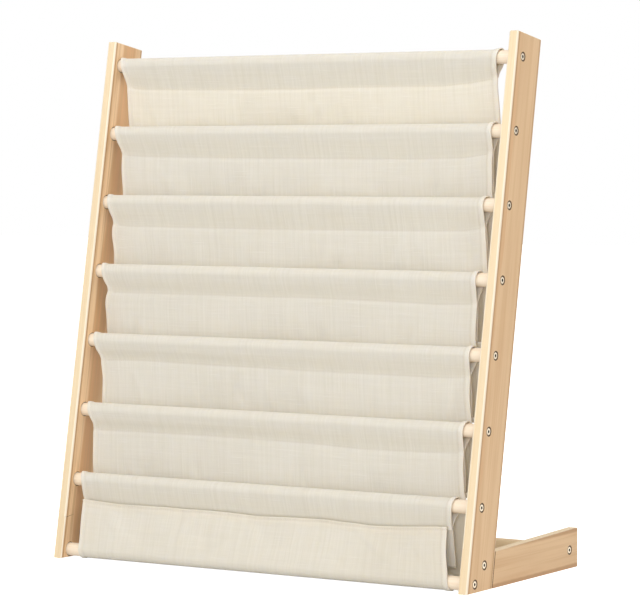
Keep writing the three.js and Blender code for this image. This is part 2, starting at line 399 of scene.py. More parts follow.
def open_group(name, numbers):
    """A node group with the input "Vector", and an input for each of the numbers."""
    tree = bpy.data.node_groups.new(name, "ShaderNodeTree")
    tree.interface.new_socket("Vector", in_out="INPUT", socket_type="NodeSocketVector")
    for label, value in numbers.items():
        socket = tree.interface.new_socket(label, in_out="INPUT", socket_type="NodeSocketFloat")
        socket.default_value = value
    group = Nodes(tree)
    return group, group.add("NodeGroupInput")


def close_group(group, results):
    """Gives the group an output for each of its results."""
    for label in results:
        group.tree.interface.new_socket(label, in_out="OUTPUT", socket_type="NodeSocketFloat")
    group.make("NodeGroupOutput", results)


def new_material(name):
    material = bpy.data.materials.new(name)
    material.use_nodes = True
    return material, Nodes(material.node_tree)


# Pine grain, with Z along the board: growth rings about a far pith, fibres and soft mottling,
# and a brown heartwood band whose place across the board wavers along the length.
pine_grain, grain_in = open_group(
    "pine grain", {"Ring width": 0.004, "Waver": 1.0, "Heart place": 0.0, "Heart width": 0.012}
)
board_place = grain_in["Vector"]
pith_offset = (0.052, -0.021, 0)
waver = (pine_grain.noise(board_place, (22, 22, 1.6)) - 0.5) * grain_in["Waver"] * 5.0
from_pith = (board_place + pith_offset) * (1, 1, 0.012)
from_pith = pine_grain.add("ShaderNodeVectorMath", {0: from_pith}, operation="LENGTH")["Value"]
wave = pine_grain.math("SINE", (from_pith / grain_in["Ring width"] + waver) * math.tau)
strength = pine_grain.noise(board_place, (90, 90, 5), 1.0).step(0.30, 0.68)
late_wood = (wave * 0.5 + 0.5) ** 2.4 * strength
fibres = pine_grain.noise(board_place, (1500, 1500, 26), 3.0)
bend = (pine_grain.noise(board_place, (60, 60, 7)) - 0.5) * 0.022
from_heart = abs(pine_grain.parts(board_place)["Y"] + bend - grain_in["Heart place"])
close_group(pine_grain, {
    "Rings": late_wood,
    "Fibres": fibres,
    "Streaks": pine_grain.noise(board_place, (420, 420, 5)),
    "Mottle": pine_grain.noise(board_place, (34, 34, 4.5), 3.0),
    "Heart": 1.0 - (from_heart / grain_in["Heart width"]).step(0.55, 1.15),
    "Height": late_wood * 0.35 + fibres,
})

# Eased arrises: which part of a board is its wide face, which is the rounded edge between, and
# which is the strip of the face beside that edge. The rounded edge gets a painted highlight, and
# the strip beside it a painted shade line.
shade_line_low, shade_line_high = 0.0009, 0.0042
eased_edge, edge_in = open_group("eased edge", {"Half width": 0.03})
parts = eased_edge.parts(edge_in["Vector"])
from_face = board_thickness / 2 - abs(abs(parts["X"]) - middle_x)
from_edge = edge_in["Half width"] - abs(parts["Y"])
on_face = 1.0 - from_face.step(0.0, arris)
close_group(eased_edge, {
    "Face": on_face,
    "Arris highlight": eased_edge.math("MINIMUM", from_face, from_edge).step(0.0, 0.08 * arris),
    "Beside shade": (1.0 - (from_edge - arris).step(shade_line_low, shade_line_high)) * on_face,
})

# The wood's tones. The first three are pairs: where the mottling is low, and where it is high.
# The wide faces are darker and more saturated than the narrow ones, partly from their flat grain
# and partly as painted shade, the warm tint of the shaded sides.
wide_pine = ((0.80, 0.562, 0.338, 1), (0.745, 0.512, 0.30, 1))
orange_pine = ((0.995, 0.745, 0.48, 1), (0.95, 0.675, 0.42, 1))
narrow_pine = ((0.90, 0.755, 0.525, 1), (0.865, 0.705, 0.48, 1))
pale_ring = (0.84, 0.64, 0.38, 1)
deep_ring = (0.62, 0.37, 0.18, 1)
streak_brown = (0.66, 0.42, 0.22, 1)
heart_brown = (0.68, 0.355, 0.155, 1)
beside_shade_brown = (0.47, 0.26, 0.12, 1)
arris_highlight_cream = (1.0, 0.94, 0.79, 1)
fibre_tan = (0.74, 0.52, 0.30, 1)


def finish_wood(nodes, wood, grain, relief, dullest):
    nodes.surface({
        "Base Color": wood,
        "Roughness": grain["Fibres"].step(0.2, 0.8, 0.42, dullest),
        "Normal": nodes.bump(grain["Height"], relief, 0.35),
        "Specular IOR Level": 0.35,
    })


def board_material(
    name, turn, centre, half_width, wide=wide_pine, narrow=narrow_pine,
    streaks=0.45, heart=(0.0, 0.012, 0.0), arris_highlight_share=0.85,
):
    """Clear-coated pine: paler on the narrow edges, palest on the eased arrises, whose paleness is a
    painted highlight, with a painted shade line on the face beside them. The heart is its place
    across the board, its half width and its strength."""
    material, nodes = new_material(name)
    turned = nodes.turned_place((turn, 0, 0), centre)
    heart_place, heart_width, heart_share = heart
    grain = nodes.use(pine_grain, {
        "Vector": turned, "Ring width": 0.0046, "Heart place": heart_place, "Heart width": heart_width,
    })
    edge = nodes.use(eased_edge, {"Vector": turned, "Half width": half_width})
    narrow_wood = nodes.layers(
        nodes.mix(grain["Mottle"].step(0.25, 0.75), *narrow),
        (grain["Rings"] * 0.45, pale_ring),
    )
    wide_wood = nodes.layers(
        nodes.mix(grain["Mottle"].step(0.30, 0.70), *wide),
        (grain["Heart"] * heart_share, heart_brown),
        (grain["Rings"] * streaks, deep_ring),
        (grain["Streaks"].step(0.46, 0.64) * streaks, streak_brown),
        # Painted shade: a dark line on the face beside each arris.
        (edge["Beside shade"] * 0.85, beside_shade_brown),
    )
    wood = nodes.layers(
        nodes.mix(edge["Face"], narrow_wood, wide_wood),
        # Painted highlight: the eased arrises are made paler.
        (edge["Arris highlight"] * arris_highlight_share, arris_highlight_cream),
        (grain["Fibres"].step(0.30, 0.72) * 0.16, fibre_tan),
    )
    finish_wood(nodes, wood, grain, 0.00012, 0.56)
    return material


# Sawn ends: the rings cut square across, darker because they drink the finish.
end_grain, nodes = new_material("pine end grain")
pores = nodes.noise(nodes.place(), 900.0)
feeds = {"Vector": nodes.place(), "Scale": 70.0, "Distortion": 3.0}
rings = nodes.add("ShaderNodeTexWave", feeds, bands_direction="Y")["Fac"]
end_wood = nodes.mix(rings * 0.5, (0.80, 0.60, 0.36, 1), (0.66, 0.43, 0.22, 1))
nodes.surface({
    "Base Color": nodes.mix(pores.step(0.35, 0.75, 0.0, 0.35), end_wood, (0.52, 0.33, 0.17, 1)),
    "Normal": nodes.bump(pores, 0.0002, 0.4),
    "Roughness": 0.62,
    "Specular IOR Level": 0.25,
})

# Painted shade for the countersinks and sockets: nearly black, as the shade down in them. It also
# darkens the broken edges of the base boards' joints.
recess_shade_pine, nodes = new_material("pine recess painted shade")
shade_mottle = nodes.noise(nodes.place(), 600.0, 3.0)
nodes.surface({
    "Base Color": nodes.mix(shade_mottle, (0.15, 0.085, 0.04, 1), (0.07, 0.04, 0.02, 1)),
    "Roughness": 0.75,
})

sawn_slot, shade_slot, tongue_slot = 1, 2, 3
countersink_reach = 0.0066
countersink_depth = board_thickness - 0.006
surface_skin = 0.0001


def finish_board(board, material, places, is_end, is_gap=lambda middle, normal: False):
    """Gives the faces and sawn ends their own finishes, and paints the bored holes and the gaps of joints
    with the recess shade.
    """
    for finish in (material, end_grain, recess_shade_pine):
        board.data.materials.append(finish)
    for face in board.data.polygons:
        middle = face.center
        inward = outer_x - abs(middle.x)
        from_hole = min((Vector((0, middle.y, middle.z)) - place).length for place in places)
        in_countersink = from_hole < countersink_reach and surface_skin / 2 < inward < countersink_depth
        at_socket = from_hole < socket_mouth + 0.0002
        in_socket = at_socket and countersink_depth < inward < board_thickness - surface_skin
        # Painted shade in the holes and the joint gaps.
        if in_countersink or in_socket or is_gap(middle, face.normal):
            face.material_index = shade_slot
        elif is_end(middle, face.normal):
            face.material_index = sawn_slot


post_place = (0, -front_y * math.cos(lean) - post_width / 2, 0)
# The left post's wide faces take a more orange tone and stronger streaks, partly its grain and partly
# painted shade, the warm bounce light on its inner face.
left_pine = board_material(
    "pine post left", lean, post_place, post_width / 2, orange_pine, streaks=0.65, heart=(0.003, 0.017, 0.75)
)
right_pine = board_material(
    "pine post right", lean, post_place, post_width / 2, streaks=0.35, heart=(-0.027, 0.006, 0.35)
)
for post, post_pine in ((left_post, left_pine), (right_post, right_pine)):
    finish_board(
        post, post_pine, post_screws,
        lambda middle, normal: abs(normal.z) > 0.9 and not 0.001 < middle.z < overall_height - near_end,
    )
    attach(post, "root")
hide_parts("left_post")
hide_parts("right_post")

# Base boards. Each is a pine board that stands on edge behind its post and butts against it,
# and its tongue, half as thick, fills the halving in the post's foot and is screwed there.
base_front_height = 0.046
base_back_height = 0.052
base_screws = [front_dowels[-1], lap_screw, rear_dowel]
joint_ease = 0.0010
joint_margin = 0.0012
tongue_rise = 0.010
sharp_edge = 0.5
hair = 0.001


def base_board(side, name):
    bpy.ops.mesh.primitive_plane_add(
        size=1, location=(side * inner_x, 0, 0), rotation=(0, math.pi / 2, 0)
    )
    base = bpy.context.object
    base.name = name
    settle(base)
    edit(base)
    for back, up, y, z in (
        (-1, -1, post_back(0), 0),
        (-1, 1, post_back(base_front_height), base_front_height),
        (1, -1, rear_y, 0),
        (1, 1, rear_y, base_back_height),
    ):
        shift(
            (0, y - 0.5 * back, z - 0.5 * up),
            lambda co, back=back, up=up: co.y * back > 0.2 and co.z * up > 0.2,
        )
    choose(lambda middle: middle.y < 0, "EDGE")
    extrude((0, -post_depth, 0))
    # The tongue's top edge is drawn up, and its two ends are put on the post's edges.
    choose(lambda middle: middle.z > base_front_height - hair and middle.y < post_back(0), "EDGE")
    extrude((0, 0, tongue_rise))
    risen = base_front_height + tongue_rise
    between = post_back(base_front_height) - post_depth / 2
    for place, edge_y, way in (
        (tongue_back, post_back(base_front_height), 1),
        (tongue_front, post_front(base_front_height), -1),
    ):
        shift(
            (0, place.y - edge_y, place.z - risen),
            lambda co, way=way: abs(co.z - risen) < hair and (co.y - between) * way > 0,
        )
    bpy.ops.mesh.select_all(action="SELECT")
    extrude((side * board_thickness / 2, 0, 0))
    bpy.ops.mesh.select_all(action="SELECT")
    bpy.ops.mesh.normals_make_consistent(inside=False)
    choose(lambda middle, normal: normal.x * side > 0.9 and middle.y > post_back(0), "FACE")
    extrude((side * board_thickness / 2, 0, 0))
    finish_edit()
    ease_base_edges(base)
    bore(base, side, (front_dowels[-1], rear_dowel), dowel_socket)
    bore(base, side, base_screws, screw_hole)
    flat_shading(base)
    return base


def ease_base_edges(base):
    """The tongue's front edge is eased as the posts' are, and the other edges softly broken."""
    mesh = bmesh.new()
    mesh.from_mesh(base.data)
    weights = mesh.edges.layers.float.new("bevel_weight_edge")
    for edge in mesh.edges:
        if not edge.is_convex or edge.calc_face_angle(0) < sharp_edge:
            continue
        middle = (edge.verts[0].co + edge.verts[1].co) / 2
        if middle.y < post_front(middle.z) + hair:
            edge[weights] = 1 if abs(middle.x) < inner_x + hair else 0
        elif middle.y < post_back(middle.z) + hair:
            edge[weights] = joint_ease / arris
        else:
            edge[weights] = end_ease / arris
    mesh.to_mesh(base.data)
    mesh.free()
    apply_modifier(base, "BEVEL", limit_method="WEIGHT", width=arris, segments=arris_steps)


left_base = base_board(-1, "base_board_left")
right_base = base_board(1, "base_board_right")
base_pine = board_material(
    "pine base board", math.pi / 2, (0, base_back_height / 2, 0.4), base_back_height / 2,
    narrow=((0.99, 0.79, 0.50, 1), (0.96, 0.73, 0.44, 1)), arris_highlight_share=0.15,
)


def in_gap(middle, normal):
    """The broken edges of the joint, painted with the recess shade, which show as a dark line beside the
    post.
    """
    slanting = 0.3 < abs(normal.x) < 0.95
    joint = post_front(middle.z) + arris + 0.0005 < middle.y < post_back(middle.z) + joint_margin
    return slanting and joint and middle.z > 0.0015


for base, post_pine in ((left_base, left_pine), (right_base, right_pine)):
    finish_board(
        base, base_pine, base_screws,
        lambda middle, normal: normal.y > 0.9 and middle.y > rear_y - hair, in_gap,
    )
    # The tongue was cut from the post's own wood, sanded flush with it and finished with it.
    base.data.materials.append(post_pine)
    for face in base.data.polygons:
        middle = face.center
        at_front = middle.y < post_front(middle.z) + arris + 0.0002
        on_inside = abs(middle.x) < inner_x + 0.0002 and middle.y < post_back(middle.z) - joint_margin
        if (at_front or on_inside) and face.material_index == 0:
            face.material_index = tongue_slot
    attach(base, "root")
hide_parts("left_base_board")
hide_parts("right_base_board")

# Dowels. Eight pine rods between the posts carry the cloth, and one more ties the rear ends of
# the base boards. Each is turned round, broken at its ends, and held by a screw from each side.
dowel_sides = 64
dowel_reach = inner_x + socket_depth - 0.0003


def turned_dowel(name, place):
    rod = add_bar(name, place, dowel_radius, 2 * dowel_reach, dowel_sides)
    edit(rod)
    choose(lambda middle: abs(middle.x) > dowel_reach - 0.0005, "EDGE")
    bpy.ops.mesh.bevel(offset=0.0009, segments=2, affect="EDGES")
    finish_edit()
    flat_shading(rod)
    return rod


dowels = [
    turned_dowel(f"dowel_rod_{number}", place)
    for number, place in enumerate(front_dowels, start=1)
]
rear_rod = turned_dowel("dowel_rod_rear", rear_dowel)


def dowel_material(name, pale, deep):
    material, nodes = new_material(name)
    along = nodes.turned_place((0, -math.pi / 2, 0))
    grain = nodes.use(pine_grain, {"Vector": along, "Ring width": 0.0031, "Waver": 0.8})
    wood = nodes.layers(
        nodes.mix(grain["Mottle"].step(0.3, 0.7), pale, deep),
        (grain["Rings"] * 0.32, (0.88, 0.68, 0.45, 1)),
        (grain["Fibres"].step(0.35, 0.75, 0.0, 0.12), (0.82, 0.62, 0.40, 1)),
    )
    finish_wood(nodes, wood, grain, 0.0001, 0.55)
    return material


dowel_pine = dowel_material("pine dowel", (0.97, 0.87, 0.73, 1), (0.945, 0.82, 0.66, 1))
# The rear dowel's darker, more orange pine is painted shade: it stands in for the shade under the cloth and
# its warm bounce light.
shaded_rear_pine = dowel_material("pine rear dowel painted shade", (0.94, 0.74, 0.49, 1), (0.88, 0.66, 0.41, 1))
dowel_nodes = [f"dowel_{number}" for number in range(1, dowel_count + 1)] + ["rear_dowel"]
for rod, node in zip(dowels + [rear_rod], dowel_nodes):
    rod.data.materials.append(shaded_rear_pine if rod is rear_rod else dowel_pine)
    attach(rod, "root")
    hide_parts(node)

# Screws. Twenty zinc-plated countersunk screws with a hexagon socket hold the dowels and the
# lap joints. Each head sits a little below the board's outer face, in a dark ring of shadow.
head_radius = 0.0043
head_sink = 0.0003
head_edge = 0.0004
head_height = 0.0026
shank_radius = 0.0024
tip_radius = 0.0016
tip_length = 0.001
dowel_screw_length = 0.030
lap_screw_length = 0.0115
key_width = 0.0040
key_depth = 0.0024

bright_zinc, nodes = new_material("bright zinc steel")
brushed = nodes.noise(nodes.place(), 1800.0, 3.0)
cloudy = nodes.noise(nodes.place(), 350.0)
nodes.surface({
    "Base Color": nodes.mix(cloudy, (0.80, 0.71, 0.57, 1), (0.61, 0.52, 0.39, 1)),
    "Roughness": brushed.step(0.3, 0.7, 0.24, 0.38),
    "Normal": nodes.bump(brushed, 0.00004, 0.4),
    "Metallic": 1.0,
})
# Painted shade: the hexagon socket is nearly black, as the shade down in it.
socket_shade, nodes = new_material("key socket painted shade")
socket_shade_mottle = nodes.noise(nodes.place(), 900.0)
nodes.surface({
    "Base Color": nodes.mix(socket_shade_mottle, (0.05, 0.045, 0.04, 1), (0.13, 0.115, 0.10, 1)),
    "Metallic": 0.6,
    "Roughness": 0.5,
})


def hexagon_screw(length):
    """One screw at the outer face, its axis along X through the origin's Y and Z."""
    screw = turned_shape(1, Vector((0, 0, 0)), [
        (head_sink, head_radius), (head_sink + head_edge, head_radius),
        (head_sink + head_height, shank_radius), (length - tip_length, shank_radius), (length, tip_radius),
    ])
    edit(screw)
    top = outer_x - head_sink
    choose(lambda middle: middle.x > top - 0.0001, "EDGE")
    bpy.ops.mesh.bevel(offset=0.00028, segments=3, affect="EDGES")
    finish_edit()
    key_corner = key_width / 2 / math.cos(math.pi / 6)
    cut_away(screw, add_bar("key", (top, 0, 0), key_corner, 2 * key_depth, 6))
    flat_shading(screw)
    screw.data.materials.append(bright_zinc)
    screw.data.materials.append(socket_shade)
    # The socket's faces take the painted shade.
    for face in screw.data.polygons:
        from_axis = math.hypot(face.center.y, face.center.z)
        if from_axis < 0.56 * key_width and 0.00005 < top - face.center.x < key_depth + 0.0002:
            face.material_index = 1
    return screw


def drive_screw(pattern, name, side, place, turn):
    """A copy of the screw with its own mesh, turned about its axis and put in its hole."""
    screw = add_object(name, pattern.data.copy())
    facing = Matrix.Rotation(0 if side > 0 else math.pi, 4, "Z")
    screw.data.transform(Matrix.Translation(place) @ facing @ Matrix.Rotation(turn, 4, "X"))
    return screw


dowel_screw = hexagon_screw(dowel_screw_length)
lap_joint_screw = hexagon_screw(lap_screw_length)
turns = random.Random(7)
for side, hand in ((-1, "left"), (1, "right")):
    holes = [(f"{n}", f"screw_{n}", dowel_screw, place) for n, place in enumerate(front_dowels, start=1)]
    holes.append(("lap", "lap_screw", lap_joint_screw, lap_screw))
    holes.append(("rear", "rear_screw", dowel_screw, rear_dowel))
    for label, node, pattern, place in holes:
        screw = drive_screw(pattern, f"screw_{hand}_{label}", side, place, turns.uniform(0, 1))
        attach(screw, "root")
        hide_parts(f"{hand}_{node}")
bpy.data.objects.remove(dowel_screw)
bpy.data.objects.remove(lap_joint_screw)

# Cloth sling. One long cream slub-weave cloth is sewn into a sleeve round each of the top seven
# dowels. From each seam it hangs down behind the next dowel, folds, and comes up again behind
# the next row, which makes the book pockets. Its side hems are turned in and stitched.
cloth_half = 0.292
cloth_thickness = 0.00075
cloth_columns = 170
hem_widths = (0.0064, 0.0084)
hem_thickness = 0.00085
hem_groove_depth = 0.00042
hem_stitch_inset = 0.0013
hem_stitch_column = 7
stitch_spacing = 0.0034
stitch_length = 0.0024
thread_radius = 0.00030
sleeve_radius = dowel_radius + 0.0007
sleeve_wall_steps = 16
sleeve_half_round = 17
# At the left end and the right end: how much farther the sleeve's back reaches along the dowel
# than its front, and how much the sleeve flares.
back_reach = (0.0060, 0.0012)
end_flare = (0.0005, 0.0011)
seam_drop = 0.035
seam_half = 0.2825
seam_gap = 0.0005
seam_groove_depth = 0.0003
sleeve_tail = seam_drop - 0.002
waves_full = 0.085
crease_count = 15
pucker_height = 0.00016
pocket_slack = 0.0150
map_step = 0.33
fold_drop = 0.0860
wall_sag = 0.004
layer_offset = 0.0018
fold_half = (dowel_pitch * lean_slope - 2 * layer_offset) / 2
fold_depth = fold_drop - fold_half

# Where each row's two side edges run, in millimetres: (depth below the dowel's axis, distance
# from the middle).
left_hems = [
    [(0, 300), (24, 296), (35, 295.5), (83, 293)],
    [(0, 297.5), (10, 295.5), (24, 292.6), (35, 292.4), (60, 292.4), (84, 291.5)],
    [(6, 298), (27, 294), (46, 297), (66, 294), (85, 295.5)],
    [(8, 295), (32, 290), (42, 295), (50, 296), (83, 295.5), (115, 292), (165, 287)],
    [(5, 296), (30, 291), (54, 288), (82, 289.5)],
    [(4, 294), (18, 289), (37, 291), (80, 292)],
    [(1, 292), (18, 293.5), (30, 294.5), (80, 292)],
]
right_hems = [
    [(-10, 288), (0, 288), (12, 285.5), (27, 283.8), (45, 285), (83, 287.5)],
    [(0, 290), (27, 288), (51, 286), (83, 286)],
    [(0, 288), (28, 286.3), (45, 286.8), (60, 288), (83, 288.5)],
    [(0, 287), (25, 285), (50, 283.5), (83, 281), (98, 287), (150, 291)],
    [(0, 288), (30, 284.5), (52, 283.6), (83, 284), (98, 288), (150, 291)],
    [(0, 289), (30, 285), (60, 284.3), (83, 284.5), (98, 293), (120, 298), (150, 298)],
    [(0, 283.5), (24, 278), (40, 278), (83, 282)],
]
# How far each seam runs below its dowel, in millimetres: (distance from the middle, depth).
seam_runs = [
    [(-295, 29), (-270, 33), (-150, 35.5), (-14, 36.5), (64, 35.2), (210, 35.5), (255, 32), (284, 27.5)],
    [(-292, 29), (-262, 31), (-200, 32.2), (-110, 33.6), (30, 34.6), (170, 35.4), (250, 33.8), (286, 29)],
    [(-294, 30), (-268, 32.6), (-140, 33.6), (20, 34.2), (150, 34), (262, 33), (285, 29)],
    [(-290, 29), (-234, 28.6), (-112, 29.4), (48, 29.0), (135, 30.2), (232, 32.6), (286, 31)],
    [(-291, 27), (-220, 25.6), (-128, 27.3), (43, 29.2), (129, 29.8), (253, 30.5), (284, 29)],
    [(-290, 27), (-240, 26.9), (-110, 26.4), (-2, 27.2), (63, 28.4), (138, 31.6), (232, 30.6), (285, 29)],
    [(-293, 28.7), (-235, 31.3), (-93, 31.1), (-11, 33.2), (95, 30.4), (170, 34.4), (253, 30.4), (278, 29)],
]


def edge_at(table, values):
    """Reads a table of (place, size) pairs in millimetres, softened between its entries."""
    places, sizes = zip(*table)
    nearby = (-7.0, -3.5, 0, 3.5, 7.0)
    return sum(np.interp(values * 1000 + offset, places, sizes) * 0.2 for offset in nearby) / 1000


def ease(value, low, high):
    share = np.clip((value - low) / (high - low), 0, 1)
    return share * share * (3 - 2 * share)


def bell(offset, reach):
    return np.exp(-((offset / reach) ** 2))


def ripple(turns, phase=0):
    return np.sin(2 * math.pi * turns + phase)


def sag_at(depth):
    """How far back a hanging wall has sagged at each depth."""
    return wall_sag * np.clip((depth - seam_drop) / (dowel_pitch - seam_drop), 0, 1) ** 1.1


def tangent_turn(offset, depth, radius):
    """The angle on a round at which a straight run to a point below leaves it."""
    return math.atan2(-depth, offset) + math.acos(radius / math.hypot(offset, depth))


def round_run(y, z, radius, turns):
    """Points (y, z) on a round, one at each turn."""
    return [(y + radius * math.cos(turn), z + radius * math.sin(turn)) for turn in turns]


def straight_run(start, end, shares):
    """Points (y, z) between two points, one at each share of the way."""
    return [(start[0] + (end[0] - start[0]) * s, start[1] + (end[1] - start[1]) * s) for s in shares]


def sleeve_path(row):
    """Points (y, z) from the seam up the back of the dowel, over it, and down to the seam."""
    place = front_dowels[row]
    start = tangent_turn(seam_gap, sleeve_tail, sleeve_radius)
    turns = np.linspace(start, math.pi - start, 2 * sleeve_half_round)
    over = round_run(place.y, place.z, sleeve_radius, turns)
    shares = np.linspace(0, 1, sleeve_wall_steps + 1)[:-1]
    back = straight_run((place.y + seam_gap, place.z - sleeve_tail), over[0], shares)
    front = straight_run((place.y - seam_gap, place.z - sleeve_tail), over[-1], shares[::-1])
    return back + over + front


def wall_path(row, last_depth, offset):
    """A wall of cloth that hangs from a row's seam, leaving it close and then hanging free."""
    place = front_dowels[row]
    near_seam = (0.0342, 0.0350, 0.0358, 0.0364, 0.0370, 0.0377, 0.0386, 0.0398, 0.0415, 0.044)
    free_start, free_step = 0.048, 0.0028
    free_steps = round((last_depth - free_start) / free_step)
    depths = np.array([sleeve_tail, *near_seam, *np.linspace(free_start, last_depth, free_steps + 1)])
    step_out = seam_gap + (abs(offset) - 0.0009) * ease(depths, seam_drop + 0.0003, seam_drop + 0.0055)
    out = np.sign(offset) * (step_out + 0.0004 * ease(depths, seam_drop + 0.003, seam_drop + 0.018))
    return list(zip(place.y + out + sag_at(depths), place.z - depths))


def fold_path(row):
    """The bottom of a pocket, from its back wall round to its front wall."""
    below = front_dowels[row + 1]
    back = front_dowels[row].y - layer_offset + wall_sag
    front = below.y + layer_offset + sag_at(fold_depth)
    turns = np.linspace(0, -math.pi, 17)
    return round_run((back + front) / 2, below.z - fold_depth, (back - front) / 2, turns)


def creases(row, x, depth):
    """Soft dents and ridges that the cloth took while it hung: place, slope, width and height."""
    marks = random.Random(40 + row)
    total = np.zeros_like(x)
    for _ in range(crease_count):
        centre = marks.uniform(-0.27, 0.27)
        low = marks.uniform(0.058, 0.086)
        tilt = marks.uniform(-0.6, 0.6)
        wide = marks.uniform(0.0055, 0.0120)
        long = marks.uniform(0.011, 0.026)
        high = marks.choice((-1, 1)) * marks.uniform(0.0008, 0.0019)
        away = (x - centre) - tilt * (depth - low)
        total += high * bell(away, wide) * bell(depth - low, long)
    return total


# How strongly each row drapes; the top one has no pocket in front of it to pull it flat.
row_drape = (1.9, 1.4, 1.3, 0.9, 1.0, 0.8, 0.8)


def soft_waves(row, x, depth):
    """The slow waves of a hanging row; the wall behind it hangs in the same ones."""
    phase = 1.7 * row
    slow = 0.0011 * ripple(x / 0.37 + depth / 0.25, phase)
    middle = 0.0006 * ripple(x / 0.128 - depth / 0.34, 2.3 * phase)
    uneven = 0.6 + 0.4 * np.sin(x * 29 + 2.9 * row)
    quick = 0.00042 * ripple(x / 0.053 + depth / 0.40, 0.7 * phase)
    narrow = 0.00020 * ripple(x / 0.0265 - depth / 0.55, 2.2 * np.sin(x * 17 + row))
    drape = (slow + middle) * ease(depth, seam_drop, waves_full)
    return drape + (quick + narrow * uneven) * row_drape[row] * ease(depth, seam_drop, 0.070)


def puckers(row, x, depth):
    """Small gathers that the stitches draw in on both sides of a seam."""
    gather = ripple(x / 0.0143, 2.1 * np.sin(x * 37 + row)) + 0.6 * ripple(x / 0.0087, row)
    spread = np.where(depth < seam_drop, 0.0085, 0.0120)
    uneven = 0.55 + 0.45 * np.sin(x * 23 + 1.9 * row)
    return pucker_height * gather * uneven * bell(depth - seam_drop, spread)


def run_along(points):
    """How far along a line of points each of them lies."""
    return np.concatenate([[0], np.cumsum(np.linalg.norm(np.diff(points, axis=0), axis=1))])


def hang(row, path, wave_share, left_table, right_table):
    """Lays a path across the full width, and gives it the row's hems, seam line and waves."""
    path = np.array(path)
    run = run_along(path)
    rim = [0, 0.0007, 0.0018]
    near_hem = np.array([-3.4, -2.4, -1.9, -1.5, -1.1, -0.6, 0, 0.5, 1.0, 1.8, 3.0]) / 1000
    left_edge, right_edge = (np.concatenate([rim, width + near_hem]) for width in hem_widths)
    left_start, right_end = left_edge[-1] + 0.003 - cloth_half, cloth_half - right_edge[-1] - 0.003
    inner = np.linspace(left_start, right_end, cloth_columns)
    flat_x = np.concatenate([left_edge - cloth_half, inner, cloth_half - right_edge[::-1]])
    x_grid, depth = np.meshgrid(flat_x, front_dowels[row].z - path[:, 1])
    left = edge_at(left_table, depth[:, :1])
    right = edge_at(right_table, depth[:, :1])
    stretch = np.where(x_grid < 0, left, right) / cloth_half
    ruffle = 0.00022 * ripple(run / 0.041, row)[:, None] * ease(np.abs(x_grid), 0.20, cloth_half)
    x = x_grid * (1 + (stretch - 1) * np.abs(x_grid) / cloth_half) + np.sign(x_grid) * ruffle
    pull = np.where(
        depth < seam_drop,
        ease(depth, dowel_radius, sleeve_tail),
        1 - ease(depth, seam_drop, waves_full),
    )
    y = path[:, :1] + soft_waves(row, x_grid, depth) * wave_share
    z = path[:, 1:] + (seam_drop - edge_at(seam_runs[row], flat_x)) * pull
    return np.stack([x, y, z], axis=-1), run, flat_x, depth, x_grid


def sheet_normals(points):
    normal = np.cross(np.gradient(points, axis=0), np.gradient(points, axis=1))
    return normal / np.linalg.norm(normal, axis=-1, keepdims=True)


def sew_sheet(name, row, points, thickness, crease_shade, double_shade, run, flat_x):
    """A closed sheet: a face on both sides of the points, joined round its four edges.
    Its crease attribute is painted shade, high in the grooves that the stitches press into the cloth
    and wherever else it is set; another attribute is painted shade too, high where the cloth lies
    double, as in a sleeve."""
    rows, columns = points.shape[:2]
    normal = sheet_normals(points)
    outer = points + normal * thickness[..., None]
    inner = points - normal * (cloth_thickness / 2)
    corners = np.concatenate([outer.reshape(-1, 3), inner.reshape(-1, 3)])
    count = rows * columns
    numbers = np.arange(count).reshape(rows, columns)
    a, b = numbers[:-1, :-1].ravel(), numbers[:-1, 1:].ravel()
    c, d = numbers[1:, 1:].ravel(), numbers[1:, :-1].ravel()
    faces = [np.stack([a, d, c, b], axis=1), np.stack([a, b, c, d], axis=1) + count]
    for rim, way in ((numbers[0], 1), (numbers[-1], -1), (numbers[:, 0], -1), (numbers[:, -1], 1)):
        p, q = rim[:-1], rim[1:]
        faces.append(np.stack([p, q, q + count, p + count], axis=1)[:, ::way])
    faces = np.concatenate(faces)
    mesh = bpy.data.meshes.new(name)
    mesh.vertices.add(len(corners))
    mesh.vertices.foreach_set("co", corners.astype(np.float32).ravel())
    mesh.loops.add(faces.size)
    mesh.loops.foreach_set("vertex_index", faces.astype(np.int32).ravel())
    mesh.polygons.add(len(faces))
    mesh.polygons.foreach_set("loop_start", np.arange(0, faces.size, 4, dtype=np.int32))
    mesh.polygons.foreach_set("use_smooth", np.ones(len(faces), bool))
    mesh.update(calc_edges=True)
    # The map runs on from row to row, so that no two rows show the same stretch of weave.
    weave_map = np.stack(np.meshgrid(flat_x, run + map_step * row), axis=-1).reshape(-1, 2)
    placed = np.tile(weave_map, (2, 1))[faces.ravel()].astype(np.float32)
    mesh.uv_layers.new(name="weave").data.foreach_set("uv", placed.ravel())
    for label, values in (("crease_shade", crease_shade), ("double_shade", double_shade)):
        marked = mesh.attributes.new(label, "FLOAT", "POINT")
        marked.data.foreach_set("value", np.tile(np.clip(values, 0, 1).ravel(), 2).astype(np.float32))
    return add_object(name, mesh), outer, normal


def run_stitches(line, normals):
    """Splits a line on the cloth into stitches: (middle, direction, normal) for each."""
    run = run_along(line)

    def at(place, values):
        return np.array([np.interp(place, run, values[:, axis]) for axis in range(3)])

    found = []
    for start in np.arange(stitch_spacing / 2, run[-1] - stitch_length, stitch_spacing):
        first, last = at(start, line), at(start + stitch_length, line)
        found.append(((first + last) / 2, last - first, at(start + stitch_length / 2, normals)))
    return found


